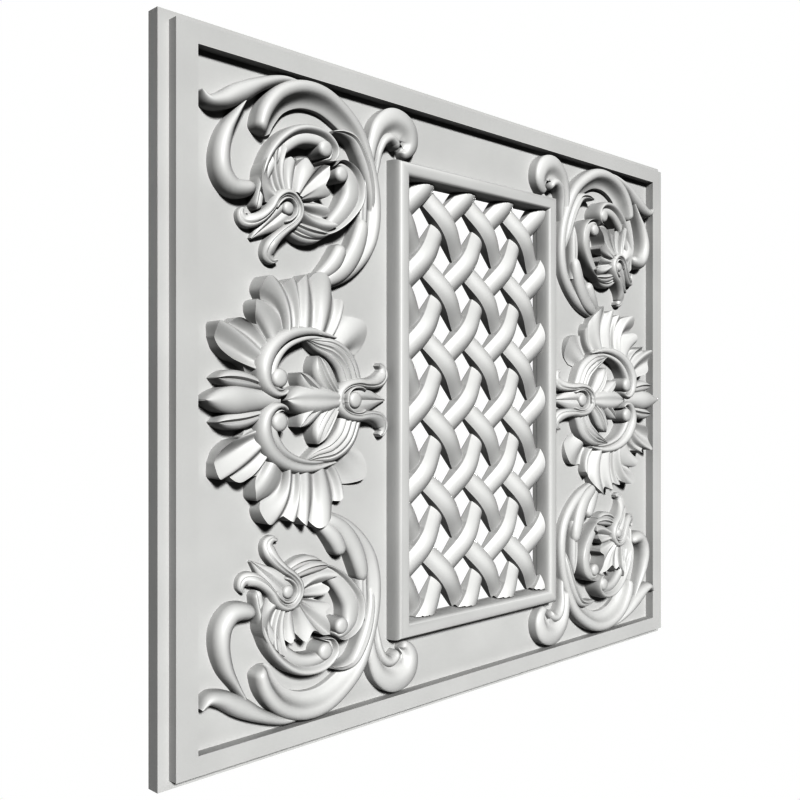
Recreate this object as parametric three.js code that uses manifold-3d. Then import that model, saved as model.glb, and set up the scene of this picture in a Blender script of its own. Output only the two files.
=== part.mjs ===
// Carved grille panel: a board with a woven lattice window, a raised border,
// a window moulding, four corner scrolls and two side palmettes.
// Millimetres, +Z up. The board's back is the plane Y = 0 and its front faces -Y.
// The origin is on the back of the top rail: midway across, and midway up the flat
// between the rebate and the top edge.

import * as THREE from 'three';
import { mergeVertices } from 'three/addons/utils/BufferGeometryUtils.js';
import Module from 'manifold-3d';

const wasm = await Module();
wasm.setup();

// Board and its raised border
const PANEL_WIDTH = 736;
const PANEL_HEIGHT = 600;
const BOARD_THICKNESS = 13;
const LEDGE_SIDE = 10;
const LEDGE_TOP = 7.3;
const BORDER_WIDTH_SIDE = 20;
const BORDER_WIDTH_TOP = 16;
const BORDER_RISE = 10;

// Window, its moulding and the rebate behind it
const WINDOW_WIDTH = 216.4;
const WINDOW_HEIGHT = 417.4;
const MOULDING_WIDTH = 16.3;
const MOULDING_RISE = 17.8;
const MOULDING_ROUNDING = 5;
const REBATE_DEPTH = 7.5;
const REBATE_MARGIN = 12;

// Woven lattice
const STRAND_PITCH_ACROSS = 31;
const STRAND_PITCH_UP = 34.8;
const STRAND_WIDTH = 21.5;
const STRAND_CROWN = 5.5;
const STRAND_HIGH = 12;
const STRAND_LOW = 2;

// Carving: its highest boss over the field, and the gap that a fitted piece keeps
const CARVING_RISE = 24;
const FIT_GAP = 0.3;

const MATERIALS = {
  board: { color: 0xcfcfcd, roughness: 0.5, metalness: 0 },
  frame: { color: 0xd2d2d0, roughness: 0.45, metalness: 0 },
  lattice: { color: 0xd4d4d2, roughness: 0.42, metalness: 0 },
  carving: { color: 0xd6d6d4, roughness: 0.4, metalness: 0 },
};

// Half sizes that several pieces share
const boardX = PANEL_WIDTH / 2;
const boardZ = PANEL_HEIGHT / 2;
const borderOuterX = boardX - LEDGE_SIDE;
const borderOuterZ = boardZ - LEDGE_TOP;
const fieldX = borderOuterX - BORDER_WIDTH_SIDE;
const fieldZ = borderOuterZ - BORDER_WIDTH_TOP;
const windowX = WINDOW_WIDTH / 2;
const windowZ = WINDOW_HEIGHT / 2;
const mouldingX = windowX + MOULDING_WIDTH;
const mouldingZ = windowZ + MOULDING_WIDTH;
const rebateX = windowX + REBATE_MARGIN;
const rebateZ = windowZ + REBATE_MARGIN;
const railMiddleZ = (rebateZ + boardZ) / 2;
const latticeBack = REBATE_DEPTH - BOARD_THICKNESS;

// How far a cutting block runs past what it cuts
const OVERCUT = 1;

// The carving is drawn on a field of these half sizes and then fitted to the real one.
// A palmette keeps its proportions in the width beside the moulding, and a corner scroll
// also in the height over it.
const DRAWN_FIELD_X = 338;
const DRAWN_FIELD_Z = 276.7;
const DRAWN_MOULDING_X = 124.5;
const DRAWN_MOULDING_Z = 225;
const DRAWN_RISE = 24;
const besideMoulding = (fieldX - mouldingX) / (DRAWN_FIELD_X - DRAWN_MOULDING_X);
const overMoulding = (fieldZ - mouldingZ) / (DRAWN_FIELD_Z - DRAWN_MOULDING_Z);
const palmetteScale = Math.min(besideMoulding, fieldZ / DRAWN_FIELD_Z);
const scrollScale = Math.min(palmetteScale, overMoulding);

// Closed geometry and solids

function toSolid(geometry) {
  const bare = geometry.clone();
  bare.deleteAttribute('normal');
  bare.deleteAttribute('uv');
  const merged = mergeVertices(bare, 1e-4);
  return new wasm.Manifold(new wasm.Mesh({
    numProp: 3,
    vertProperties: new Float32Array(merged.attributes.position.array),
    triVerts: new Uint32Array(merged.index.array),
  }));
}

function toGeometry(solid) {
  const mesh = solid.getMesh();
  const geometry = new THREE.BufferGeometry();
  geometry.setAttribute('position', new THREE.BufferAttribute(mesh.vertProperties, 3));
  geometry.setIndex(new THREE.BufferAttribute(mesh.triVerts, 1));
  geometry.computeVertexNormals();
  return geometry;
}

function union(solids) {
  return solids.reduce((joined, solid) => joined.add(solid));
}

// A box between two corners, in the relief frame: x across, y up, z out of the field.
function block(low, high) {
  const size = high.map((value, axis) => value - low[axis]);
  const geometry = new THREE.BoxGeometry(...size);
  geometry.translate(...low.map((value, axis) => value + size[axis] / 2));
  return toSolid(geometry);
}

function frameBlock(outerX, outerZ, innerX, innerZ, back, front) {
  const outer = block([-outerX, -outerZ, back], [outerX, outerZ, front]);
  return outer.subtract(block([-innerX, -innerZ, back - OVERCUT], [innerX, innerZ, front + OVERCUT]));
}

// A fan's shoulders as a share of the way to the tip, and its heights as shares of its rise
const LOBE_SHOULDER = 0.95;
const SHOULDER_SHARE = 0.9;
const VALLEY_SHARE = 0.75;

// The carving's parts start this far under the field and are then cut off at it.
const ROOT = 1;

// The least half width of a band's tip, and a boss's sides and the height of its shoulder
const TIP_HALF = 0.4;
const BOSS_SIDES = 7;
const BOSS_SHOULDER = 0.8;

// Lofted bands: sections along a line, each with its own half width and rise.
// A section lists [side, share of the rise] from the left edge to the right one.
const ROUND = [[-1, 0.5], [0, 1], [1, 0.5]];
const RIDGE = [[-1, 0.72], [0, 1], [1, 0.72]];
const GUTTER_RIGHT = [[-1, 0.62], [-0.5, 1], [1, 0.5]];
const GUTTER_LEFT = GUTTER_RIGHT.map(([side, share]) => [-side, share]).reverse();
const SLOPE_RIGHT = [[-1, 0.45], [0.35, 1], [1, 0.8]];

// Joins the sections' rings into one closed skin. All rings have the same number of points.
function skin(rings) {
  const count = rings[0].length;
  const positions = rings.flat().flatMap((point) => point.toArray());
  const index = [];
  for (let ring = 0; ring + 1 < rings.length; ring += 1) {
    for (let i = 0; i < count; i += 1) {
      const a = ring * count + i;
      const b = ring * count + ((i + 1) % count);
      index.push(a, b, a + count, b, b + count, a + count);
    }
  }
  const last = (rings.length - 1) * count;
  for (const [first, flip] of [[0, false], [last, true]]) {
    const outline = rings[first / count];
    const across = outline.map((point) => new THREE.Vector2(
      Math.hypot(point.x - outline[0].x, point.y - outline[0].y),
      point.z,
    ));
    for (const face of THREE.ShapeUtils.triangulateShape(across, [])) {
      const corners = face.map((corner) => first + corner);
      index.push(...(flip ? corners.reverse() : corners));
    }
  }
  const geometry = new THREE.BufferGeometry();
  geometry.setAttribute('position', new THREE.Float32BufferAttribute(positions, 3));
  geometry.setIndex(index);
  return geometry;
}

// A band through control points [x, z, half width, rise], standing on the field.
function band(points, section, steps) {
  const path = new THREE.CatmullRomCurve3(
    points.map(([x, z]) => new THREE.Vector3(x, z, 0)),
    false,
    'centripetal',
  );
  const shape = new THREE.CatmullRomCurve3(
    points.map(([, , half, rise]) => new THREE.Vector3(half, rise, 0)),
    false,
    'centripetal',
  );
  const rings = [];
  for (let step = 0; step <= steps; step += 1) {
    const t = step / steps;
    const centre = path.getPoint(t);
    const tangent = path.getTangent(t);
    const right = new THREE.Vector3(tangent.y, -tangent.x, 0);
    const { x: half, y: rise } = shape.getPoint(t);
    const top = section.map(([side, share]) => centre.clone()
      .addScaledVector(right, side * Math.max(half, TIP_HALF))
      .setZ(rise * share));
    const left = top[0].clone().setZ(-ROOT);
    const end = top[top.length - 1].clone().setZ(-ROOT);
    rings.push([left, ...top, end]);
  }
  return toSolid(skin(rings));
}

// A leaf's [share of its length, share of its half width, share of its rise]
const LEAF_SWELL = [
  [0, 0.5, 0.8],
  [0.35, 0.92, 0.97],
  [0.68, 1, 1],
  [0.9, 0.62, 0.97],
  [1, 0.1, 0.9],
];

// A leaf from its base to its tip: it swells to its half width and bends to one side.
function leaf([baseX, baseZ, tipX, tipZ, half, bend], rise, steps) {
  const along = new THREE.Vector2(tipX - baseX, tipZ - baseZ);
  const aside = new THREE.Vector2(-along.y, along.x).normalize();
  const points = LEAF_SWELL.map(([share, width, height]) => {
    const offset = bend * Math.sin(Math.PI * share);
    return [
      baseX + along.x * share + aside.x * offset,
      baseZ + along.y * share + aside.y * offset,
      half * width,
      rise * height,
    ];
  });
  return band(points, RIDGE, steps);
}

// A rounded boss, such as a scroll's eye
function boss(x, z, radius, rise) {
  const profile = [
    [0, -ROOT],
    [radius, -ROOT],
    [radius, rise * BOSS_SHOULDER],
    [0, rise],
  ].map(([r, h]) => new THREE.Vector2(r, h));
  const geometry = new THREE.LatheGeometry(profile, BOSS_SIDES);
  geometry.rotateX(Math.PI / 2);
  geometry.translate(x, z, 0);
  return toSolid(geometry);
}

// A fan of lobes round a hub, in one grid. A broad lobe has a crest between two shoulders,
// one without a half width is a plain point, and a valley parts each from the next.
// Lobes list [tip x, tip z, half width, rise, how far out the valley after it reaches].
function fan({ hub, inner, innerRise, start, end, lobes }, level, grow = 0) {
  const centre = new THREE.Vector2(hub[0], hub[1] * level);
  const outward = (x, z) => new THREE.Vector2(x, z * level).sub(centre);
  const edge = [[outward(...start), lobes[0][3] * VALLEY_SHARE]];
  let previous = null;
  for (const [x, z, half, rise, reach] of lobes) {
    const tip = outward(x, z);
    const shoulder = half > 0 ? tip.clone().multiplyScalar(LOBE_SHOULDER) : tip;
    const aside = new THREE.Vector2(-tip.y, tip.x).setLength(level * (half > 0 ? half + grow : 0));
    const near = shoulder.clone().sub(aside);
    const far = shoulder.clone().add(aside);
    if (previous) {
      const valley = previous.far.clone().add(near).multiplyScalar(previous.reach / 2);
      edge.push([valley, Math.min(previous.rise, rise) * VALLEY_SHARE]);
    }
    if (half > 0) edge.push([near, rise * SHOULDER_SHARE]);
    edge.push([tip, rise]);
    if (half > 0) edge.push([far, rise * SHOULDER_SHARE]);
    previous = { far, reach, rise };
  }
  edge.push([outward(...end), previous.rise * VALLEY_SHARE]);
  const lift = grow > 0 ? DRAWN_RISE : 0;
  const spot = (offset, reach, height) => {
    const at = offset.clone().setLength(reach).add(centre);
    return new THREE.Vector3(at.x, at.y, height);
  };
  const rings = edge.map(([offset, rise]) => [
    spot(offset, inner, -ROOT),
    spot(offset, inner, innerRise + lift),
    spot(offset, offset.length() + grow, rise + lift),
    spot(offset, offset.length() + grow, -ROOT),
  ]);
  return toSolid(skin(level > 0 ? rings : rings.reverse()));
}

// The clasp: a looped strap round an eye, two curled tips and a point between them.
// It lies along a direction from its eye, given as a unit vector in the drawing. The loop
// behind the eye and the arms before it are stretched apart.
function clasp(eyeX, eyeZ, dirX, dirZ, back, length, tipRise) {
  const point = (along, aside, half, rise) => {
    const far = along * (along < 0 ? back : length);
    return [eyeX + dirX * far - dirZ * aside, eyeZ + dirZ * far + dirX * aside, half, rise];
  };
  const strap = (side) => band([
    point(-12.5, 0, 4, 18),
    point(-8.5, side * 9.5, 4, 18),
    point(3, side * 13.6, 3.9, 17.5),
    point(16, side * 12.8, 4.2, 16),
    point(32, side * 15.5, 6, 12),
    point(38, side * 21, 5.5, tipRise),
    point(34.5, side * 28, 2.5, tipRise),
  ], RIDGE, 4);
  const heart = band([
    point(-12, 0, 10, 13),
    point(8, 0, 12, 13.5),
    point(42, 0, 1, 5),
  ], RIDGE, 2);
  const eye = boss(...point(0, 0).slice(0, 2), 8.5, 17);
  return [strap(1), strap(-1), heart, eye];
}

// Palmette: everything but the bud, the middle leaf and the clasp is there above and below.
const PALMETTE_FAN = {
  hub: [226, 0],
  inner: 57,
  innerRise: 13,
  start: [301, 30],
  end: [166, 38],
  lobes: [
    [323, 46, 9, 18, 0.97],
    [320, 64, 0, 18.5, 0.9],
    [303, 68, 0, 18, 0.8],
    [281, 82, 9, 18, 0.88],
    [275, 103, 0, 20, 0.93],
    [240, 107, 0, 15, 0.96],
    [218, 112, 11, 16.5, 0.84],
    [193, 88, 0, 10, 0.85],
    [159, 67, 12, 3, 1],
  ],
};

function palmetteHalf(level) {
  const drawn = (rows) => rows.map(([x, z, half, rise]) => [x, z * level, half, rise]);
  return [
    fan(PALMETTE_FAN, level),
    leaf([276, 11 * level, 324, 17.5 * level, 7.5, 2 * level], 18, 2),
    // C-scroll and its eye
    band(drawn([
      [198, 54, 2, 13],
      [223, 57, 5.5, 15],
      [241, 55, 7.5, 17],
      [257, 49, 9, 19],
      [269, 39, 10.5, 20.5],
      [275.5, 26, 10.5, 21.5],
      [274.5, 14, 8.5, 21.5],
      [268, 7, 6, 21],
    ]), level > 0 ? GUTTER_RIGHT : GUTTER_LEFT, 5),
    boss(264.5, 18.2 * level, 8.2, 21),
    // Ridged leaf that closes the ring
    band(drawn([
      [219, 47, 6, 14],
      [203, 44, 10, 17],
      [187, 33, 12.5, 16],
      [177, 13, 12.5, 14.5],
    ]), RIDGE, 3),
    leaf([200, 5 * level, 222, 37 * level, 10.5, -3 * level], 19, 2),
    leaf([208, 2 * level, 241, 22.5 * level, 8, -2 * level], 19, 2),
  ];
}

function palmette() {
  const bud = band([
    [262, 0, 6, 16],
    [306, 0, 11.5, 21],
    [325, 0, 7.5, 20],
    [336.5, 0, 1.5, 18.5],
  ], RIDGE, 3);
  const middleLeaf = leaf([195, 0, 256, 0, 10, 0], 22, 2);
  const strapwork = clasp(176.7, 0, -1, 0, 1.6, 1.08, 9);
  return union([...palmetteHalf(1), ...palmetteHalf(-1), bud, middleLeaf, ...strapwork]);
}

const CORNER_FAN = {
  hub: [248, 164],
  inner: 1,
  innerRise: 14,
  start: [278, 172],
  end: [234, 138],
  lobes: [
    [266, 208, 0, 17, 0.8],
    [238, 209, 0, 19, 0.7],
    [210, 202, 9, 20, 0.7],
    [203, 160, 0, 17, 0.85],
    [216, 139, 0, 15, 1],
  ],
};

function cornerScroll() {
  const parts = [
    // Main stem
    band([
      [212, 98.5, 4, 8],
      [183, 111, 6, 9.5],
      [164, 126, 6.5, 10],
      [152, 143, 7, 10.5],
      [147.5, 160, 7.5, 11],
      [147, 178, 7.5, 11.5],
      [150, 197, 7.5, 12],
      [157, 216, 8, 13],
      [168, 236, 9.5, 14],
    ], ROUND, 6),
    // Great arc over the top
    band([
      [160, 222, 8, 13],
      [171, 239, 10, 14],
      [190.5, 253, 11, 15.5],
      [212, 261.5, 11.5, 16.5],
      [236, 261, 11.5, 17],
      [257, 251.5, 11, 18],
      [269, 238, 11, 18],
      [276, 218, 8.5, 16],
    ], GUTTER_RIGHT, 6),
    // Outer leaf that runs on from the arc
    band([
      [229, 271, 2, 9],
      [252, 269.5, 4, 12],
      [277, 260, 6, 15],
      [298, 248, 8.5, 16],
      [316, 238, 7, 16],
      [328, 235.5, 5, 15.5],
      [336, 241.5, 1.5, 13],
    ], RIDGE, 4),
    // Crescent branch
    band([
      [292, 245, 1.5, 12],
      [302, 230, 3.5, 13.5],
      [311.5, 214, 6, 15.5],
      [316.5, 195, 7.5, 17],
      [314.5, 181, 8.2, 17],
      [306.5, 172, 8.2, 17],
      [296, 171, 7.5, 17],
      [284.5, 174.5, 5, 16],
    ], RIDGE, 5),
    // Upper C-scroll and its eye
    band([
      [282, 165, 3, 13],
      [276.5, 184, 5.5, 16],
      [267, 202, 7.8, 17.5],
      [255.5, 214.5, 8.8, 18.5],
      [242.5, 223, 9, 19.5],
      [228.5, 226, 9, 20.5],
      [214.5, 224, 8, 21.5],
      [206, 216.5, 5.5, 22],
    ], GUTTER_LEFT, 5),
    boss(214.7, 216.5, 7.6, 20.5),
    // Lower C-scroll and its eye
    band([
      [243, 137, 2, 11],
      [222, 141.5, 4.5, 13.5],
      [204, 151, 7, 16],
      [188.5, 166, 9.6, 18.5],
      [180, 181, 11, 20.5],
      [180, 194, 10, 21],
      [186.5, 202, 6.5, 21],
    ], SLOPE_RIGHT, 4),
    boss(196.3, 197.5, 7.2, 20.5),
    // Leaf that crosses from the stem to the upper C-scroll
    band([
      [201.5, 234.5, 1.2, 14],
      [177, 233.5, 5.5, 15.5],
      [166, 221, 7, 15.5],
      [158, 203, 7, 14],
    ], RIDGE, 3),
    // Husk leaves on the stem
    band([
      [226, 99, 3, 9],
      [205, 104, 6, 12],
      [188, 112, 8, 14.5],
      [175, 126, 8.5, 16],
      [167, 142, 8, 16.5],
      [163, 157, 3, 13],
    ], ROUND, 3),
    band([
      [226, 101, 3, 9],
      [212, 107, 6, 12],
      [199, 116, 7.5, 15.5],
      [188, 131, 4, 14],
    ], ROUND, 3),
    leaf([163, 142, 161.5, 208, 6.5, -2], 12.5, 2),
    // Volute that turns over the window moulding
    band([
      [152, 200, 5, 11],
      [151, 222, 7, 12],
      [147.5, 238, 8, 13.5],
      [140, 253, 9.5, 15],
      [125, 262.5, 11, 16],
      [108.5, 258, 11.5, 16],
      [101.5, 246, 11.5, 14.5],
      [108, 234.5, 7.5, 12.5],
    ], GUTTER_LEFT, 6),
    fan(CORNER_FAN, 1),
    ...clasp(252.6, 160.5, 0.746, -0.666, 1, 1, 7.5),
  ];
  return union(parts);
}

// Fits a drawn solid to the real field: scaled, with the drawn field's side on the real one.
function fitted(solid, scale, anchorZ, drawnAnchorZ) {
  const geometry = toGeometry(solid);
  geometry.translate(-DRAWN_FIELD_X, -drawnAnchorZ, 0);
  geometry.scale(scale, scale, CARVING_RISE / DRAWN_RISE);
  geometry.translate(fieldX, anchorZ, 0);
  return toSolid(geometry);
}

function fittedPalmette(solid) {
  return fitted(solid, palmetteScale, 0, 0);
}

// The palmette's lobes, grown by the gap, clear the scroll's stem that rises from behind them.
function fittedScroll() {
  const lobes = fittedPalmette(fan(PALMETTE_FAN, 1, FIT_GAP));
  return fitted(cornerScroll(), scrollScale, fieldZ, DRAWN_FIELD_Z).subtract(lobes);
}

// What the carving may fill: the field inside the border, clear of the moulding
function trimToField(solid) {
  const x = fieldX - FIT_GAP;
  const z = fieldZ - FIT_GAP;
  const high = CARVING_RISE * 2;
  const kept = solid.intersect(block([-x, -z, 0], [x, z, high]));
  return kept.subtract(block(
    [-mouldingX - FIT_GAP, -mouldingZ - FIT_GAP, -OVERCUT],
    [mouldingX + FIT_GAP, mouldingZ + FIT_GAP, high],
  ));
}

// Board: a slab with the window through it and a rebate round the window at the back
function backBoard() {
  const slab = frameBlock(boardX, boardZ, windowX, windowZ, -BOARD_THICKNESS, 0);
  return slab.subtract(block(
    [-rebateX, -rebateZ, -BOARD_THICKNESS - OVERCUT],
    [rebateX, rebateZ, latticeBack],
  ));
}

function border() {
  return frameBlock(borderOuterX, borderOuterZ, fieldX, fieldZ, 0, BORDER_RISE);
}

// Window moulding: one rounded section carried round the four mitred corners
function windowMoulding() {
  const shoulder = MOULDING_RISE - MOULDING_ROUNDING;
  const profile = [[0, 0]];
  const turns = 5;
  for (const side of [1, -1]) {
    for (let i = 0; i <= turns; i += 1) {
      const angle = (Math.PI / 2) * (side > 0 ? i / turns : 1 - i / turns);
      const inset = MOULDING_ROUNDING * (1 - Math.cos(angle)) * 0.9;
      const offset = side > 0 ? inset : MOULDING_WIDTH - inset;
      profile.push([offset, shoulder + MOULDING_ROUNDING * Math.sin(angle)]);
    }
  }
  profile.push([MOULDING_WIDTH, 0]);
  const rings = [[-1, -1], [1, -1], [1, 1], [-1, 1]].map(([sx, sz]) => (
    profile.map(([offset, height]) => (
      new THREE.Vector3(sx * (mouldingX - offset), sz * (mouldingZ - offset), height)
    ))
  ));
  const count = profile.length;
  const index = [];
  for (let ring = 0; ring < 4; ring += 1) {
    for (let i = 0; i < count; i += 1) {
      const a = ring * count + i;
      const b = ring * count + ((i + 1) % count);
      const nextA = ((ring + 1) % 4) * count + i;
      const nextB = ((ring + 1) % 4) * count + ((i + 1) % count);
      index.push(a, nextA, b, b, nextA, nextB);
    }
  }
  const geometry = new THREE.BufferGeometry();
  const positions = rings.flat().flatMap((point) => point.toArray());
  geometry.setAttribute('position', new THREE.Float32BufferAttribute(positions, 3));
  geometry.setIndex(index);
  return toSolid(geometry);
}

// Lattice: diagonal strands, each rising over every second strand that it crosses
function lattice() {
  const columns = Math.round(WINDOW_WIDTH / STRAND_PITCH_ACROSS);
  const rows = Math.round(WINDOW_HEIGHT / STRAND_PITCH_UP);
  const across = WINDOW_WIDTH / columns;
  const up = WINDOW_HEIGHT / rows;
  const middle = (STRAND_HIGH + STRAND_LOW) / 2;
  const swing = (STRAND_HIGH - STRAND_LOW) / 2;
  const stepsPerCell = 1;
  const sides = [-1, 0, 1];
  const strand = (slope, start) => {
    const direction = new THREE.Vector2(across, slope * up).normalize();
    const right = new THREE.Vector3(direction.y, -direction.x, 0);
    const rings = [];
    for (let step = -stepsPerCell; step <= (columns + 1) * stepsPerCell; step += 1) {
      const cell = step / stepsPerCell;
      const row = start + slope * cell;
      const crest = middle + slope * swing * Math.cos(Math.PI * row);
      const centre = new THREE.Vector3(cell * across - windowX, row * up - windowZ, 0);
      const top = sides.map((side) => centre.clone()
        .addScaledVector(right, (side * STRAND_WIDTH) / 2)
        .setZ(crest - STRAND_CROWN * side * side));
      rings.push([
        top[0].clone().setZ(latticeBack - ROOT),
        ...top,
        top[sides.length - 1].clone().setZ(latticeBack - ROOT),
      ]);
    }
    return toSolid(skin(rings));
  };
  const strands = [];
  for (let start = -columns - 1; start <= rows + columns + 1; start += 1) {
    const odd = Math.abs(start) % 2 === 1;
    if (odd && start < rows) strands.push(strand(1, start));
    if (odd && start > 0) strands.push(strand(-1, start));
  }
  const x = windowX - FIT_GAP;
  const z = windowZ - FIT_GAP;
  const opening = block([-x, -z, latticeBack], [x, z, STRAND_HIGH * 2]);
  return union(strands).intersect(opening);
}

function piece(name, solid, slot) {
  const mesh = new THREE.Mesh(toGeometry(solid), new THREE.MeshStandardMaterial(MATERIALS[slot]));
  mesh.name = name;
  return mesh;
}

// The relief frame: x across, y up, z out of the front of the board
const relief = new THREE.Group();
relief.rotation.x = Math.PI / 2;
relief.position.y = -BOARD_THICKNESS;

relief.add(piece('back_board', backBoard(), 'board'));
relief.add(piece('border', border(), 'frame'));
relief.add(piece('window_moulding', windowMoulding(), 'frame'));
relief.add(piece('lattice', lattice(), 'lattice'));

const cornerSolid = trimToField(fittedScroll());
const palmetteSolid = trimToField(fittedPalmette(palmette()));
for (const [side, mirrorX] of [['left', -1], ['right', 1]]) {
  const palmettePiece = piece(`palmette_${side}`, palmetteSolid, 'carving');
  palmettePiece.scale.x = mirrorX;
  relief.add(palmettePiece);
  for (const [level, mirrorZ] of [['top', 1], ['bottom', -1]]) {
    const corner = piece(`corner_scroll_${level}_${side}`, cornerSolid, 'carving');
    corner.scale.set(mirrorX, mirrorZ, 1);
    relief.add(corner);
  }
}

// The panel hangs from the origin, down from the middle of its top rail.
const panel = new THREE.Group();
panel.position.z = -railMiddleZ;
panel.add(relief);

export default panel;
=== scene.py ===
import math

import bpy
import numpy as np
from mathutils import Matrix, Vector

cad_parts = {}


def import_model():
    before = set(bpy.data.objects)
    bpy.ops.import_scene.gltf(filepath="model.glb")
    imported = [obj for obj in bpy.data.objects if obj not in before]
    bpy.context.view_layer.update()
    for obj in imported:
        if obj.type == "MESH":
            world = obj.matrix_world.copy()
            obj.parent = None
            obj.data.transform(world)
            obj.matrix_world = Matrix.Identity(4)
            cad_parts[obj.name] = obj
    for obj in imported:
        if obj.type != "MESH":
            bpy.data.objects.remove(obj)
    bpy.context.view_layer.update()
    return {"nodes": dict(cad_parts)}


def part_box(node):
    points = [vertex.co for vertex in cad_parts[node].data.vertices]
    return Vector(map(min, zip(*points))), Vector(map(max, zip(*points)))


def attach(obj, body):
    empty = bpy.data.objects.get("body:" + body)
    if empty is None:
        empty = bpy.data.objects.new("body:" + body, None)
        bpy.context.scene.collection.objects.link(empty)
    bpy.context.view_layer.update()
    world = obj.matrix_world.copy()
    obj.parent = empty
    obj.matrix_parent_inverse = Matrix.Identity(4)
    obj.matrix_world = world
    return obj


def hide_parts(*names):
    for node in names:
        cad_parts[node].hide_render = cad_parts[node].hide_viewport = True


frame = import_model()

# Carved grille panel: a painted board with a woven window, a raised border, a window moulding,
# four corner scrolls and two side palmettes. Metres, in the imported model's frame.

scene = bpy.context.scene

# Places taken from the frame: the field plane, the panel's middle, and the upper right corners of
# the moulding and the lattice
MM = 0.001
board_low, board_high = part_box("back_board")
_, moulding_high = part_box("window_moulding")
_, lattice_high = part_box("lattice")
FIELD_Y = board_low[1]
MIDDLE_Z = (board_low[2] + board_high[2]) / 2

# In drawing millimetres: carved parts start this far inside the board, the lattice stops this far
# short of the moulding, and a band is at least this wide to each side.
ROOT = 0.3
FIT_GAP = 0.3
TIP_HALF = 0.35

# Samples along a curve between two control points, across a band, round a boss, along a line of a
# carved leaf and across a strand
BAND_SAMPLES = 9
SECTION_SAMPLES = 25
BOSS_SIDES = 40
LINE_SAMPLES = 15
STRAND_SAMPLES = 13
SMOOTH_ANGLE = math.radians(40)


def world(points):
    """Drawing millimetres (x across, z up from the middle, n out of the field) to metres."""
    points = np.asarray(points, dtype=float)
    return np.stack([
        points[:, 0] * MM,
        FIELD_Y - points[:, 2] * MM,
        MIDDLE_Z + points[:, 1] * MM,
    ], axis=1)


# Cross sections turn a side from -1 (left of the travel) to 1 (right) into a share of the rise.

def dome(side, edge):
    """An arch that starts and ends at a share of the rise"""
    return edge + (1 - edge) * np.sqrt(np.clip(1 - side**2, 0, 1))


def dent(side, place, width, depth):
    """A soft dent round a place"""
    return depth * np.exp(-(((side - place) / width) ** 2))


def rounded(side):
    return dome(side, edge=0.42)


def rolled(side):
    return dome(side, edge=0.62)


# Heights of a rimmed section as shares of its rise: the rim's outer edge and its foot at the step,
# then the inner face at its crest and its far edge, and how far the face dips beside the step.
# The last is a power: the larger it is, the later the face falls to its far edge.
RIM_EDGE = 0.55
RIM_FOOT = 0.78
FACE_CREST = 0.83
FACE_EDGE = 0.5
FACE_DIP = 0.12
FACE_FALL = 2.6


def step_place(share):
    """The side on which a rim of that share of the width ends"""
    return 2 * share - 1


def rim_left(side, share):
    """A convex rim on the left, a fine step beside it and a wide inner face on the right"""
    turn = (side + 1 - share) / share
    arch = np.sqrt(np.clip(1 - turn**2, 0, 1))
    foot = np.where(turn < 0, RIM_EDGE, RIM_FOOT)
    rim = foot + (1 - foot) * arch
    turn = (side - step_place(share)) / (1 - share) - 1
    fall = np.clip(1 - np.clip(turn, 0, 1) ** FACE_FALL, 0, 1) ** 0.5
    near = FACE_CREST - FACE_DIP * turn**2
    far = FACE_EDGE + (FACE_CREST - FACE_EDGE) * fall
    return np.where(side < step_place(share), rim, np.where(turn < 0, near, far))


# The great arc's rim as a share of its width, and its hollow face: the heights of its far edge and
# of its top as shares of the rise, and the power that hollows it
ARC_RIM = 0.52
ARC_FACE_EDGE = 0.26
ARC_FACE_TOP = 0.82
ARC_SWEEP = 2.8


def low_face_left(side):
    """A broad rim with a hollow inner face that sweeps down from it"""
    step = step_place(ARC_RIM)
    share = np.clip((1 - side) / (1 - step), 0, 1) ** ARC_SWEEP
    sweep = ARC_FACE_EDGE + (ARC_FACE_TOP - ARC_FACE_EDGE) * share
    return np.where(side < step, rim_left(side, ARC_RIM), sweep)


def hollow_left(side):
    """A rounded outer edge on the right and a valley beside it"""
    return rolled(side) - dent(side, place=-0.5, width=0.42, depth=0.27)


def broad_rim_left(side):
    return rim_left(side, share=0.62)


def thin_rim_left(side):
    return rim_left(side, share=0.2)


def narrow_rim_right(side):
    return rim_left(-side, share=0.38)


def leafy(side):
    """A domed leaf with a fine groove along its middle"""
    return dome(side, edge=0.55) - dent(side, place=0, width=0.16, depth=0.2)


def petal(side):
    """A domed leaf with a shallow, broad hollow along its middle"""
    return dome(side, edge=0.45) - dent(side, place=0, width=0.3, depth=0.1)


def ribbed(side):
    """Four ribs with three grooves between them"""
    grooves = sum(dent(side, place, width=0.11, depth=0.13) for place in (-0.45, 0, 0.45))
    return dome(side, edge=0.6) - grooves


def strap_right(side):
    """A broad rounded strap with a fine groove towards its right"""
    return dome(side, edge=0.55) - dent(side, place=0.34, width=0.13, depth=0.1)


def strap_left(side):
    return strap_right(-side)


SIDES = np.sin(np.linspace(-1, 1, SECTION_SAMPLES) * math.pi / 2)


# Meshes

def between(low, high, start, end, t):
    return low + (high - low) * ((t - start) / (end - start))


def smooth_path(rows):
    """A centripetal Catmull-Rom curve through rows that start with their place, x and z"""
    rows = np.asarray(rows, dtype=float)
    rows = np.vstack([2 * rows[0] - rows[1], rows, 2 * rows[-1] - rows[-2]])
    gaps = np.sqrt(np.linalg.norm(np.diff(rows[:, :2], axis=0), axis=1))
    knots = np.concatenate([[0], np.cumsum(gaps)])
    path = []
    for k in range(len(rows) - 3):
        p, s = rows[k:k + 4], knots[k:k + 4]
        final = k == len(rows) - 4
        for t in np.linspace(s[1], s[2], BAND_SAMPLES + 1)[:BAND_SAMPLES + final]:
            a = [between(p[i], p[i + 1], s[i], s[i + 1], t) for i in range(3)]
            b = [between(a[i], a[i + 1], s[i], s[i + 2], t) for i in range(2)]
            path.append(between(b[0], b[1], s[1], s[2], t))
    return np.array(path)


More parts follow.
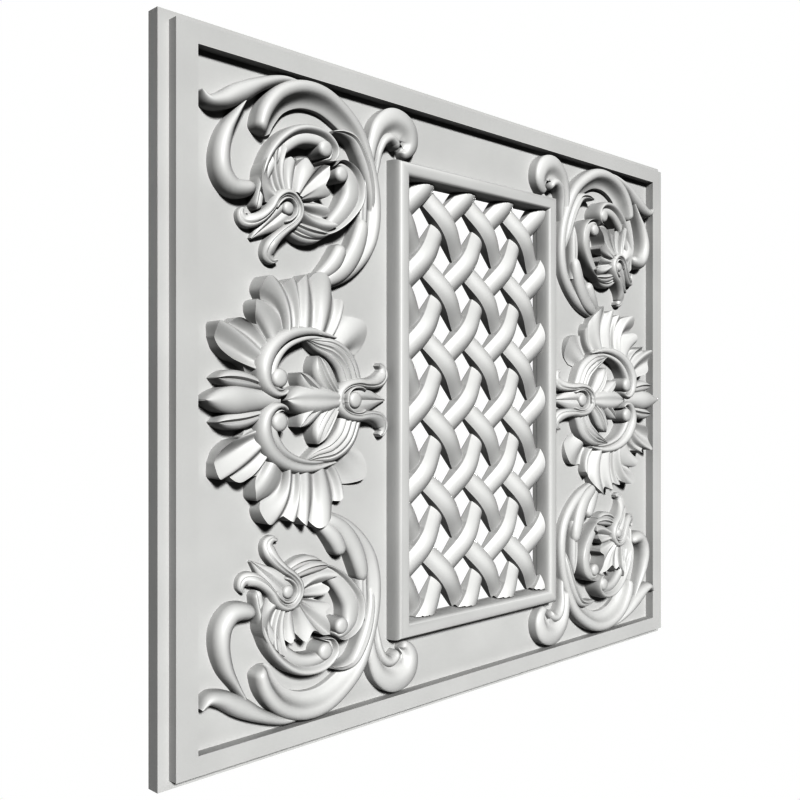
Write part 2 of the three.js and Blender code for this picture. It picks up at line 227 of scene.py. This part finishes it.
def skin(rings, closed=False):
    """Vertices and faces of a closed shell through rings of equal length"""
    count = len(rings[0])
    total = len(rings)
    faces = []
    for ring in range(total if closed else total - 1):
        after = (ring + 1) % total
        for i in range(count):
            j = (i + 1) % count
            faces.append((ring * count + i, ring * count + j, after * count + j, after * count + i))
    if not closed:
        faces.append(tuple(reversed(range(count))))
        faces.append(tuple(range((total - 1) * count, total * count)))
    return np.concatenate([np.asarray(r, dtype=float) for r in rings]), faces


# A rounded end narrows to this share of the width and falls to this share of the rise.
END_HALF = 0.04
END_RISE = 0.6


def band(rows, section, end_section=None, round_ends=(0, 0)):
    """A band that stands on the field along its control points, with a carved top.

    Its section may turn into another along the way, and its ends may be rounded off over
    a length in millimetres.
    """
    path = smooth_path(rows)
    tangent = np.gradient(path[:, :2], axis=0)
    tangent /= np.linalg.norm(tangent, axis=1)[:, None]
    right = np.stack([tangent[:, 1], -tangent[:, 0]], axis=1)
    run = np.concatenate([[0], np.cumsum(np.linalg.norm(np.diff(path[:, :2], axis=0), axis=1))])
    rings = []
    for (x, z, half, rise), (rx, rz), far in zip(path, right, run):
        turn = far / run[-1]
        turn = turn * turn * (3 - 2 * turn)
        shares = section(SIDES)
        if end_section:
            shares = shares * (1 - turn) + end_section(SIDES) * turn
        for length, reach in zip(round_ends, (far, run[-1] - far)):
            if length and reach < length:
                ball = math.sqrt(max(0, 1 - (1 - reach / length) ** 2))
                half *= max(ball, END_HALF)
                rise *= END_RISE + (1 - END_RISE) * ball
        half = max(half, TIP_HALF)
        top = np.stack([x + rx * SIDES * half, z + rz * SIDES * half, rise * shares], axis=1)
        left, end = top[0].copy(), top[-1].copy()
        left[2] = end[2] = -ROOT
        rings.append(np.vstack([left, top, end]))
    return skin(rings)


# A leaf's [share of its length, share of its half width, share of its rise]
LEAF_SWELL = (
    (0, 0.5, 0.8), (0.18, 0.74, 0.9), (0.35, 0.92, 0.97), (0.52, 1, 1),
    (0.68, 0.97, 1), (0.82, 0.78, 0.99), (0.93, 0.42, 0.95), (1, 0.05, 0.88),
)


def leaf(base, tip, half, bend, rise, section=leafy):
    """A leaf that swells to its half width and bends to one side"""
    base, tip = np.array(base, dtype=float), np.array(tip, dtype=float)
    along = tip - base
    aside = np.array([-along[1], along[0]]) / np.linalg.norm(along)
    rows = []
    for share, width, height in LEAF_SWELL:
        x, z = base + along * share + aside * bend * math.sin(math.pi * share)
        rows.append((x, z, half * width, rise * height))
    return band(rows, section)


# A boss's [share of its radius, share of its rise], from the rim to its middle
BOSS_PROFILE = (
    (1, 0.76), (0.99, 0.81), (0.95, 0.86), (0.88, 0.905), (0.78, 0.94), (0.65, 0.967),
    (0.5, 0.985), (0.32, 0.996), (0.14, 1),
)


def boss(x, z, radius, rise):
    turns = np.linspace(0, 2 * math.pi, BOSS_SIDES, endpoint=False)
    rings = []
    for share, height in ((1, -ROOT / rise),) + BOSS_PROFILE:
        rings.append(np.stack([
            x + np.cos(turns) * radius * share,
            z + np.sin(turns) * radius * share,
            np.full(BOSS_SIDES, rise * height),
        ], axis=1))
    return skin(rings)


def rotate_quarter(v):
    return np.array([-v[1], v[0]])


# Carved leaves round a hub, in millimetres: the height at the ring starts from a base and grows with
# a share of the edge's rise, the surface dips on its way out, and it stays above the lowest height.
# Heights are taken at the line's steps.
LEAF_BASE = 2.5
LEAF_BASE_SHARE = 0.72
LEAF_DIP = 1.6
LEAF_LOWEST = 1
LINE_STEPS = np.linspace(0, 1, LINE_SAMPLES)


def leaves(hub, ring, sharpness, slope, deep, soft, lobes, last):
    """A sheet of lobes that spread from a ring round the hub.

    A low sharpness gives narrow creases between them. They cut in by a slope of the lobe's half
    width, no more than deep, and soft passes round them. Each lobe lists its lines from the ring
    to its edge as (angle on the ring, edge x, edge z, rise, bend). The first line of each is the
    crease that it shares with the lobe before, and last is the crease that ends the sheet.
    """
    hub = np.array(hub, dtype=float)
    creases = [lobe[0] for lobe in lobes[1:]] + [last]
    rings = []
    for lobe, crease in zip(lobes, creases):
        rows = [(x, z, angle, rise, bend) for angle, x, z, rise, bend in (*lobe, crease)]
        lines = smooth_path(rows)
        run = np.concatenate([[0], np.cumsum(np.linalg.norm(np.diff(lines[:, :2], axis=0), axis=1))])
        narrow = ring * math.radians(abs(crease[0] - lobe[0][0]))
        for (x, z, angle, rise, bend), far in zip(lines, run):
            if far == run[-1] and crease is not last:
                continue
            crest = (1 - math.cos(math.tau * far / run[-1])) / 2
            hollow = 1 - crest**sharpness
            turn = math.radians(angle)
            base = hub + ring * np.array([math.cos(turn), math.sin(turn)])
            edge = np.array([x, z])
            along = edge - base
            aside = rotate_quarter(along) / np.linalg.norm(along)
            middle = (base + edge) / 2 + 2 * bend * aside
            base_rise = LEAF_BASE + LEAF_BASE_SHARE * rise
            line = [np.append(base, -ROOT)]
            for t in LINE_STEPS:
                place = (1 - t) ** 2 * base + 2 * t * (1 - t) * middle + t * t * edge
                height = base_rise + (rise - base_rise) * t - LEAF_DIP * math.sin(math.pi * t)
                width = between(narrow, run[-1], 0, 1, t)
                height -= hollow * min(deep, slope * width / 2)
                line.append(np.append(place, max(LEAF_LOWEST, height)))
            line.append(np.append(edge, -ROOT))
            rings.append(np.array(line))
    rings = np.array(rings)
    for _ in range(soft):
        heights = rings[:, 1:-1, 2]
        heights[1:-1] = (heights[:-2] + 2 * heights[1:-1] + heights[2:]) / 4
    return skin(rings)


# In millimetres: how far before its bead a clasp's first arm leans in fully, and the bead's height
LEAN_REACH = 20
BEAD_RISE = 16.5


def clasp(eye, direction, back, length, girth, lean, bead, tip_rise):
    """A looped strap round a bead, two curled tips and a point between them.

    back and length stretch the loop behind the bead and the arms before it, girth widens the
    strap, lean brings the first arm in by that many millimetres, and bead is the bead's radius.
    """
    eye, along = np.array(eye, dtype=float), np.array(direction, dtype=float)
    aside = rotate_quarter(along)

    def drawn(rows):
        out = []
        for far, off, half, rise in rows:
            off *= girth
            if off > 0:
                off -= lean * min(1, max(0, far) / LEAN_REACH)
            x, z = eye + along * far * (back if far < 0 else length) + aside * off
            out.append((x, z, half * girth, rise))
        return out

    shells = []
    for side, strap in ((1, strap_right), (-1, strap_left)):
        shells.append(band(drawn((
            (-12.5, -1.5 * side, 4, 18), (-11.3, side * 6, 4, 18), (-6, side * 11.5, 4, 18),
            (3, side * 13.6, 3.9, 17.5), (14, side * 12.8, 4.1, 16.5), (25, side * 13.4, 5, 14),
            (33.5, side * 16, 6, 11.5), (38, side * 20.5, 5.6, tip_rise + 1),
            (37, side * 26, 3.6, tip_rise), (33, side * 28.5, 1.5, tip_rise),
        )), strap))
    shells.append(band(drawn((
        (-12, 0, 10, 12), (-4, 0, 11.5, 13), (8, 0, 12, 13.5), (20, 0, 9, 11.5),
        (32, 0, 4.5, 8), (42, 0, 0.8, 5),
    )), leafy))
    # The small hook round the bead, inside the loop
    for side in (1, -1):
        shells.append(band([
            (*(eye + bead * (along * far + aside * off * side)), half, rise)
            for far, off, half, rise in (
                (1.9, 1.15, 2, 15), (0.9, 1.5, 2, 16.5), (-0.4, 1.42, 2, 17), (-1.25, 0.75, 2, 17),
                (-1.45, -0.3, 1.9, 16.9),
            )
        ], rounded, round_ends=(2.4, 0)))
    shells.append(boss(*eye, bead, BEAD_RISE))
    return shells


def upside_down(shell):
    """The same shell mirrored below the panel's middle, with its faces turned the right way"""
    points, faces = shell
    return points * np.array([1, -1, 1]), [tuple(reversed(face)) for face in faces]


# The palmette's fan of lobes, from its bud round to the clasp
PALMETTE_LEAVES = dict(
    hub=(226, 0),
    ring=57,
    sharpness=0.85,
    slope=0.62,
    deep=7.5,
    soft=14,
    lobes=(
        ((19, 291, 20, 14.5, 0), (22, 298.5, 29, 15.5, 0), (24, 311, 33, 17, 0),
         (26, 320, 40, 18, 1)),
        ((29, 324.5, 50, 17.5, 2), (33, 323.5, 62, 19, 3)),
        ((36.5, 311, 60.5, 17, 4), (39.5, 304, 66, 18.5, 4), (41, 294, 63, 17.5, 4)),
        ((43, 282.5, 62, 16.5, 2), (45, 288.5, 72, 18, 4), (48, 288, 80, 18.5, 8),
         (52, 284, 82.5, 18, 11)),
        ((56, 278.5, 82, 17, 13), (58, 282.5, 91, 19, 13), (60.5, 277, 101.5, 20, 11),
         (64, 268, 101, 19, 9)),
        ((69, 256.5, 97, 17, 8), (72, 250, 102, 18, 6)),
        ((75, 241.5, 99, 16, 3), (83, 235, 106.5, 18, 3)),
        ((91.5, 228.5, 103, 15.5, 5), (96, 219, 110.5, 17.5, 4), (101, 207, 104, 16, 5)),
        ((106, 197.5, 89, 12.5, 6), (110, 192, 89, 13.5, 5), (113, 187.5, 82, 11.5, 4)),
        ((116, 188, 75, 8, 2), (121, 174, 75, 8, 0), (127, 160, 71, 8, 0), (132, 155.5, 62, 7, 0),
         (136, 157, 50, 6, 0)),
    ),
    last=(140, 166, 41, 5, 0),
)


def palmette():
    half = [
        leaves(**PALMETTE_LEAVES),
        leaf((276, 11), (324, 17.5), 7.5, 2, 18),
        # C-scroll and its eye
        band((
            (198, 54, 2, 13), (223, 57, 5.5, 15), (241, 55, 7.5, 17), (257, 49, 9, 19),
            (269, 39, 10.5, 20.5), (275.5, 26, 10.5, 21.5), (274.5, 14, 8.5, 21.5), (267.5, 7, 6, 21.5),
            (260.5, 6.5, 3.5, 21), (256, 10, 1.5, 20.5),
        ), broad_rim_left, round_ends=(0, 3)),
        boss(264.5, 18.2, 8.2, 21),
        # Ridged leaf that closes the ring, and the leaves inside it
        band((
            (232, 52, 1, 13), (219, 48, 6, 14), (203, 44, 10, 17), (187, 33, 12.5, 16),
            (177, 13, 12.5, 14.5),
        ), ribbed),
        leaf((196, 3), (221.5, 38), 10.5, -3, 19, ribbed),
        leaf((210, 1), (242, 23), 8, -2, 19.5),
    ]
    bud = band((
        (262, 0, 6, 16), (284, 0, 9, 18.5), (306, 0, 11.5, 21), (320, 0, 9.5, 20.5),
        (330, 0, 5, 19.5), (336.3, 0, 0.8, 18.5),
    ), rolled)
    middle = leaf((192, 0), (257, 0), 13.5, 0, 22, petal)
    holder = clasp(
        eye=(176.7, 0), direction=(-1, 0), back=1.6, length=1.08, girth=1.15, lean=0, bead=7.4,
        tip_rise=9)
    return half + [upside_down(shell) for shell in half] + [bud, middle] + holder


# The corner's spray of leaves, from its outer side over the top and down to the inner side
CORNER_LEAVES = dict(
    hub=(248, 164),
    ring=11,
    sharpness=0.5,
    slope=0.42,
    deep=3.6,
    soft=5,
    lobes=(
        ((-2, 274, 163, 14, 0), (4, 281, 176, 16, -1), (9, 281, 190, 17, -4), (13, 273, 201, 17.5, -6)),
        ((19, 268.5, 201, 14.5, -3), (24, 267, 206, 16.5, -3), (29, 264, 209, 17, -3)),
        ((33, 262, 210, 16, -3), (40, 258.5, 212.5, 18, -4), (48, 257.5, 206, 18, -2)),
        ((59, 257, 199, 14.5, -1), (70, 251.5, 203.5, 17, -1), (76, 248, 200, 17, 0),
         (84, 245, 203, 16, 1)),
        ((93, 243.5, 197, 14, -1), (104, 237, 204.5, 19.5, 1), (115, 230, 196, 20, 1),
         (124, 218, 202, 19.5, -1)),
        ((131, 208, 203.5, 19, -1), (138, 211, 194, 20.5, 1), (145, 215, 183, 18, 0),
         (151, 209, 178, 17.5, 0)),
        ((159, 222, 171, 12, 0), (168, 214, 168, 15.5, -1), (178, 208.5, 163, 16.5, -1)),
        ((188, 213, 158.5, 13, 0), (196, 206, 155, 16, 2), (204, 200.5, 152.5, 17.5, 4)),
    ),
    last=(220, 211, 145, 12, 3),
)


def corner_scroll():
    return [
        # Main stem that turns into the great arc over the top
        band((
            (212, 98.5, 4, 8), (183, 111, 6, 9.5), (164, 126, 6.5, 10), (152, 143, 7, 10.5),
            (147.5, 160, 7.5, 11), (147, 178, 7.5, 11.5), (150, 197, 7.8, 12), (157.5, 217, 8.5, 13),
            (171, 238.5, 10, 14.5), (190.5, 253, 11, 15.8), (212, 261.5, 11.5, 16.8),
            (236, 261, 11.5, 17.5), (257, 251.5, 11.5, 18), (269, 238, 11.5, 18), (274, 227, 10.5, 17.5),
            (275.5, 219, 9.5, 16.5),
        ), rounded, low_face_left, round_ends=(0, 6)),
        # Outer leaf that runs on from the arc
        band((
            (229, 271, 2, 9), (252, 269.5, 4, 12), (277, 260, 6, 15), (298, 248, 8.5, 16),
            (316, 238, 7, 16), (328, 235.5, 5, 15.5), (336, 241.5, 1.5, 13),
        ), rounded),
        # Crescent branch
        band((
            (292, 245, 1.5, 12), (302, 230, 3.5, 13.5), (311.5, 214, 6, 15.5), (316.5, 195, 7.5, 17),
            (314.5, 181, 8.2, 17), (306.5, 172, 8.2, 17), (296, 171, 7.5, 17), (284, 174.5, 6, 16),
        ), rounded, round_ends=(4, 8)),
        # Upper C-scroll and its eye
        band((
            (281, 156, 5, 12), (279, 170, 5, 13.5), (275.5, 185, 6, 16), (267, 202, 7.8, 17.5),
            (255.5, 214.5, 8.8, 18.5), (242.5, 223, 9, 19.5), (228.5, 226, 9, 20.5),
            (214.5, 224, 8, 21.5), (206, 216.5, 5.5, 22), (208.5, 208.5, 3.2, 21.5),
            (215, 206.5, 1.5, 20.5),
        ), narrow_rim_right, round_ends=(5, 3)),
        boss(214.7, 216.5, 7.6, 20.5),
        # Lower C-scroll and its eye
        band((
            (221, 141.5, 1.5, 10), (212, 146, 4, 13), (203, 152, 7, 16), (188.5, 166, 9.6, 18.5),
            (180, 181, 11, 20.5), (181.5, 195, 10, 21), (189, 203.5, 6.5, 21), (198, 206.5, 3.2, 21),
            (204, 202.5, 1.5, 20.5),
        ), thin_rim_left, round_ends=(0, 3)),
        boss(196.3, 197.5, 7.2, 20.5),
        # Leaf that crosses from the stem to the upper C-scroll
        band((
            (201.5, 234.5, 1.2, 14), (190, 236, 3.5, 15), (177, 233, 5.5, 15.5), (166, 220, 6.5, 15.5),
            (157.5, 202, 6, 14.5), (152.5, 184, 4.5, 12), (150, 170, 3, 7),
        ), leafy),
        # Husk leaves on the stem
        band((
            (221, 100, 2.5, 4), (205, 105, 6, 12), (188.5, 115, 8, 14.5), (176, 131, 8.8, 16),
            (168.5, 149, 8, 16.5), (165, 164, 5.5, 15),
        ), rolled, round_ends=(0, 8)),
        band((
            (224, 103, 2, 4), (213, 108, 5, 11), (199.5, 120, 7.5, 15.5), (189.5, 137, 6.5, 16),
        ), rolled, round_ends=(0, 7)),
        leaf((164, 138), (163, 199), 6.5, -2, 14, petal),
        # Volute that turns over the window moulding
        band((
            (152, 196, 5, 9), (151, 220, 7, 12), (147.5, 236, 9.5, 13.5), (139.5, 250, 12.5, 15),
            (125, 257.5, 15, 16), (110, 253.5, 15, 16), (105, 243, 12, 14.5), (109, 234.5, 7.5, 12.5),
            (114, 233, 4, 11.5),
        ), hollow_left, round_ends=(0, 4)),
        # Its inner ridge
        band((
            (146, 200, 2, 8), (144.5, 215, 3.6, 10.5), (142.7, 229, 4.6, 13), (137.5, 239, 5.4, 14.5),
            (130, 243, 5.6, 15), (123, 240.5, 5, 14.5), (120, 234, 3.5, 13.5),
        ), rounded, round_ends=(0, 5)),
        leaves(**CORNER_LEAVES),
        # Leaves that lie along the start of the lower C-scroll
        leaf((250, 151), (206, 144), 5.5, 3, 15),
        leaf((256, 148), (213, 139.5), 5, 5, 12.5),
    ] + clasp(
        eye=(252.6, 160.5), direction=(0.746, -0.666), back=1, length=1, girth=1, lean=4.5, bead=5.7,
        tip_rise=7.5)


# Objects

def mesh_object(name, points, faces, material):
    mesh = bpy.data.meshes.new(name)
    mesh.from_pydata(world(points).tolist(), [], faces)
    mesh.validate()
    made = bpy.data.objects.new(name, mesh)
    mesh.materials.append(material)
    scene.collection.objects.link(made)
    return made


def united(name, shells, material, inside=None):
    """One object of all the shells, joined, and cut to what lies inside one more shell"""
    whole, *others = [mesh_object(f"{name}_{k}", *shell, material) for k, shell in enumerate(shells)]
    tools = [(part, "UNION") for part in others]
    if inside:
        tools.append((mesh_object(f"{name}_inside", *inside, material), "INTERSECT"))
    for tool, how in tools:
        step = whole.modifiers.new("join", "BOOLEAN")
        step.operation = how
        step.solver = "MANIFOLD"
        step.object = tool
    graph = bpy.context.evaluated_depsgraph_get()
    mesh = bpy.data.meshes.new_from_object(whole.evaluated_get(graph))
    for part, _ in tools:
        bpy.data.objects.remove(part)
    whole.modifiers.clear()
    whole.data = mesh
    whole.name = mesh.name = name
    return whole


def placed(piece, node):
    """Smooth shading up to the sharp edges, and the piece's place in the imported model"""
    piece.data.polygons.foreach_set("use_smooth", [True] * len(piece.data.polygons))
    piece.data.set_sharp_from_angle(angle=SMOOTH_ANGLE)
    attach(piece, "root")
    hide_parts(node)


def mirrored_object(source, name, flip_x, flip_z):
    """A copy mirrored about the panel's middle, with its faces turned the right way"""
    mesh = source.data.copy()
    count = len(mesh.vertices)
    places = np.empty(count * 3)
    mesh.vertices.foreach_get("co", places)
    places = places.reshape(count, 3) * [flip_x, 1, flip_z]
    if flip_z < 0:
        places[:, 2] += 2 * MIDDLE_Z
    mesh.vertices.foreach_set("co", places.ravel())
    if flip_x * flip_z < 0:
        mesh.flip_normals()
    made = bpy.data.objects.new(name, mesh)
    mesh.name = name
    scene.collection.objects.link(made)
    return made


def box_shell(low, high):
    """A closed box between two corners"""
    (x0, z0, n0), (x1, z1, n1) = low, high
    lower = np.array([(x0, z0, n0), (x1, z0, n0), (x1, z1, n0), (x0, z1, n0)])
    upper = lower + [0, 0, n1 - n0]
    return skin([upper, lower])


# Window moulding: [offset from its outer edge, height] in millimetres, up to its middle
MOULDING_PROFILE = (
    (0, 0), (0, 2), (0.12, 6.5), (0.5, 11.1), (1.2, 14.4), (1.8, 15.6), (2.6, 16.45), (3.4, 17.05),
    (4.4, 17.5), (6.15, 17.75), (8.15, 17.8),
)


def moulding(material):
    """The frame round the window, mitred at its corners"""
    outer_x = moulding_high[0] / MM
    outer_z = (moulding_high[2] - MIDDLE_Z) / MM
    width = outer_x - lattice_high[0] / MM - FIT_GAP
    half = list(MOULDING_PROFILE)
    profile = half + [(width - offset, height) for offset, height in reversed(half[:-1])]
    profile = [(0, -ROOT)] + profile[1:-1] + [(width, -ROOT)]
    rings = []
    for across, up in ((-1, -1), (1, -1), (1, 1), (-1, 1)):
        rings.append(np.array([
            (across * (outer_x - offset), up * (outer_z - offset), height) for offset, height in profile
        ]))
    points, faces = skin(rings, closed=True)
    return mesh_object("window_moulding_fine", points, [tuple(reversed(f)) for f in faces], material)


# Woven lattice: the window's grid, then in millimetres a strand's width, how far its edges fall
# below its crest, the crest's middle height and its swing over and under, the lattice's back, how
# far an uncut strand reaches behind it, and the top of the box that cuts the strands
COLUMNS = 7
ROWS = 12
STRAND_WIDTH = 21.5
STRAND_CROWN = 5.5
STRAND_MIDDLE = 7
STRAND_SWING = 5
STRAND_BACK = -5.5
STRAND_BELOW = STRAND_BACK - 1
CUT_TOP = 21

# Samples along a strand from one crossing to the next
CELL_SAMPLES = 20


def lattice(material):
    """Diagonal strands that pass over and under each other, cut to the window"""
    half_x = lattice_high[0] / MM + FIT_GAP
    half_z = (lattice_high[2] - MIDDLE_Z) / MM + FIT_GAP
    across, up = 2 * half_x / COLUMNS, 2 * half_z / ROWS
    sides = np.linspace(-1, 1, STRAND_SAMPLES)
    strands = []

    def strand(slope, start):
        direction = np.array([across, slope * up]) / math.hypot(across, up)
        right = np.array([direction[1], -direction[0]])
        rings = []
        for step in range(-CELL_SAMPLES, (COLUMNS + 1) * CELL_SAMPLES + 1):
            cell = step / CELL_SAMPLES
            row = start + slope * cell
            crest = STRAND_MIDDLE + slope * STRAND_SWING * math.cos(math.pi * row)
            centre = np.array([cell * across - half_x, row * up - half_z])
            top = [
                (*(centre + right * side * STRAND_WIDTH / 2), crest - STRAND_CROWN * side * side)
                for side in sides
            ]
            left, end = (*top[0][:2], STRAND_BELOW), (*top[-1][:2], STRAND_BELOW)
            rings.append(np.array([left, *top, end]))
        return skin(rings)

    for start in range(-COLUMNS - 1, ROWS + COLUMNS + 2):
        if start % 2 and start < ROWS:
            strands.append(strand(1, start))
        if start % 2 and start > 0:
            strands.append(strand(-1, start))
    x, z = half_x - FIT_GAP, half_z - FIT_GAP
    opening = box_shell((-x, -z, STRAND_BACK), (x, z, CUT_TOP))
    return united("lattice_fine", strands, material, opening)


# Materials

# Paint: its sheen, the brush grain that runs down the panel, the cloudy worn tone and the bump
PAINT_SPECULAR = 0.22
GRAIN_STRETCH = (60, 60, 9)
GRAIN_SCALE = 6
GRAIN_DETAIL = 6
CLOUD_SCALE = 14
CLOUD_DETAIL = 3
WORN_SHARE = 0.955
WORN_END = 0.3
CLEAN_START = 0.7
SMOOTHER = 0.05
ROUGHER = 0.07
BUMP_STRENGTH = 0.08
BUMP_DEPTH = 0.0005


def painted_wood(name, colour, roughness):
    """Pale satin paint over carved wood: faint brush grain, worn tone and a fine bump"""
    material = bpy.data.materials.new(name)
    material.use_nodes = True
    nodes, links = material.node_tree.nodes, material.node_tree.links
    shader = nodes["Principled BSDF"]
    shader.inputs["Specular IOR Level"].default_value = PAINT_SPECULAR
    place = nodes.new("ShaderNodeTexCoord")
    stretch = nodes.new("ShaderNodeMapping")
    stretch.inputs["Scale"].default_value = GRAIN_STRETCH
    grain = nodes.new("ShaderNodeTexNoise")
    grain.inputs["Scale"].default_value = GRAIN_SCALE
    grain.inputs["Detail"].default_value = GRAIN_DETAIL
    cloud = nodes.new("ShaderNodeTexNoise")
    cloud.inputs["Scale"].default_value = CLOUD_SCALE
    cloud.inputs["Detail"].default_value = CLOUD_DETAIL
    tone = nodes.new("ShaderNodeValToRGB")
    tone.color_ramp.elements[0].position = WORN_END
    tone.color_ramp.elements[0].color = (*[part * WORN_SHARE for part in colour], 1)
    tone.color_ramp.elements[1].position = CLEAN_START
    tone.color_ramp.elements[1].color = (*colour, 1)
    gloss = nodes.new("ShaderNodeMapRange")
    gloss.inputs["To Min"].default_value = roughness - SMOOTHER
    gloss.inputs["To Max"].default_value = roughness + ROUGHER
    bump = nodes.new("ShaderNodeBump")
    bump.inputs["Strength"].default_value = BUMP_STRENGTH
    bump.inputs["Distance"].default_value = BUMP_DEPTH
    links.new(place.outputs["Object"], stretch.inputs["Vector"])
    links.new(place.outputs["Object"], cloud.inputs["Vector"])
    links.new(stretch.outputs["Vector"], grain.inputs["Vector"])
    links.new(cloud.outputs["Fac"], tone.inputs["Fac"])
    links.new(tone.outputs["Color"], shader.inputs["Base Color"])
    links.new(grain.outputs["Fac"], gloss.inputs["Value"])
    links.new(gloss.outputs["Result"], shader.inputs["Roughness"])
    links.new(grain.outputs["Fac"], bump.inputs["Height"])
    links.new(bump.outputs["Normal"], shader.inputs["Normal"])
    return material


FLAT_COLOUR = (0.3, 0.3, 0.297)
RELIEF_COLOUR = (0.305, 0.305, 0.302)
board_paint = painted_wood("board_paint", FLAT_COLOUR, roughness=0.6)
frame_paint = painted_wood("frame_paint", FLAT_COLOUR, roughness=0.52)
lattice_paint = painted_wood("lattice_paint", RELIEF_COLOUR, roughness=0.5)
carving_paint = painted_wood("carving_paint", RELIEF_COLOUR, roughness=0.5)

for node, paint in (("back_board", board_paint), ("border", frame_paint)):
    frame["nodes"][node].data.materials.clear()
    frame["nodes"][node].data.materials.append(paint)

placed(moulding(frame_paint), "window_moulding")
placed(lattice(lattice_paint), "lattice")

LEVELS = (("top", 1), ("bottom", -1))
HANDS = (("left", -1), ("right", 1))
corner = united("corner_scroll_top_right_fine", corner_scroll(), carving_paint)
wing = united("palmette_right_fine", palmette(), carving_paint)
for hand, flip_x in HANDS:
    piece = wing if flip_x > 0 else mirrored_object(wing, f"palmette_{hand}_fine", flip_x, 1)
    placed(piece, f"palmette_{hand}")
    for level, flip_z in LEVELS:
        first = flip_x > 0 and flip_z > 0
        name = f"corner_scroll_{level}_{hand}"
        piece = corner if first else mirrored_object(corner, f"{name}_fine", flip_x, flip_z)
        placed(piece, name)


# Floor, light and camera

FLOOR_DROP = 1.2
FLOOR_RADIUS = 1.1
FLOOR_SIDES = 96
FLOOR_COLOUR = (0.8, 0.8, 0.8, 1)
FLOOR_ROUGHNESS = 0.8
bpy.ops.mesh.primitive_circle_add(
    vertices=FLOOR_SIDES, radius=FLOOR_RADIUS, fill_type="NGON",
    location=(0, 0, MIDDLE_Z - FLOOR_DROP))
floor = bpy.context.object
floor.name = "floor"
floor_material = bpy.data.materials.new("floor_pale")
floor_material.use_nodes = True
floor_shader = floor_material.node_tree.nodes["Principled BSDF"]
floor_shader.inputs["Base Color"].default_value = FLOOR_COLOUR
floor_shader.inputs["Roughness"].default_value = FLOOR_ROUGHNESS
floor.data.materials.append(floor_material)


LAMP_ANGLE = math.radians(10)


def sunlight(name, direction, power):
    """Even studio light from a direction that points to the lamp"""
    lamp = bpy.data.lights.new(name, "SUN")
    lamp.energy = power
    lamp.angle = LAMP_ANGLE
    made = bpy.data.objects.new(name, lamp)
    made.rotation_mode = "QUATERNION"
    made.rotation_quaternion = Vector(direction).to_track_quat("Z", "Y")
    scene.collection.objects.link(made)


# The key comes from the upper left of the front. The others only reach the sides and the back.
sunlight("key", direction=(-0.385, -0.83, 0.4), power=9.9)
sunlight("right_side", direction=(0.95, 0.3, 0.1), power=2.1)
sunlight("back", direction=(0, 0.97, 0.25), power=4.2)

# The world is white to the camera and lights the part only faintly.
WHITE = (1, 1, 1, 1)
SEEN_STRENGTH = 1
GLOW_STRENGTH = 0.01

world_light = bpy.data.worlds.new("studio")
scene.world = world_light
world_light.use_nodes = True
sky_nodes, sky_links = world_light.node_tree.nodes, world_light.node_tree.links
sky_nodes.clear()
seen = sky_nodes.new("ShaderNodeBackground")
seen.inputs["Color"].default_value = WHITE
seen.inputs["Strength"].default_value = SEEN_STRENGTH
glow = sky_nodes.new("ShaderNodeBackground")
glow.inputs["Color"].default_value = WHITE
glow.inputs["Strength"].default_value = GLOW_STRENGTH
rays = sky_nodes.new("ShaderNodeLightPath")
choice = sky_nodes.new("ShaderNodeMixShader")
output = sky_nodes.new("ShaderNodeOutputWorld")
sky_links.new(rays.outputs["Is Camera Ray"], choice.inputs["Fac"])
sky_links.new(glow.outputs["Background"], choice.inputs[1])
sky_links.new(seen.outputs["Background"], choice.inputs[2])
sky_links.new(choice.outputs["Shader"], output.inputs["Surface"])

# A darker gamma keeps the hollows deep, as in a plain studio view.
VIEW_GAMMA = 0.5
scene.view_settings.view_transform = "Standard"
scene.view_settings.gamma = VIEW_GAMMA

# The camera stands to the left of the front at the panel's middle height and looks level.
CAMERA_X = -0.7577
CAMERA_Y = -0.6641
CAMERA_TURN = math.radians(-45)
CAMERA_LENS = 43.456
CAMERA_SENSOR = 36
camera_data = bpy.data.cameras.new("camera")
camera_data.lens = CAMERA_LENS
camera_data.sensor_width = CAMERA_SENSOR
camera = bpy.data.objects.new("camera", camera_data)
camera.location = (CAMERA_X, CAMERA_Y, MIDDLE_Z)
camera.rotation_euler = (math.pi / 2, 0, CAMERA_TURN)
scene.collection.objects.link(camera)
scene.camera = camera
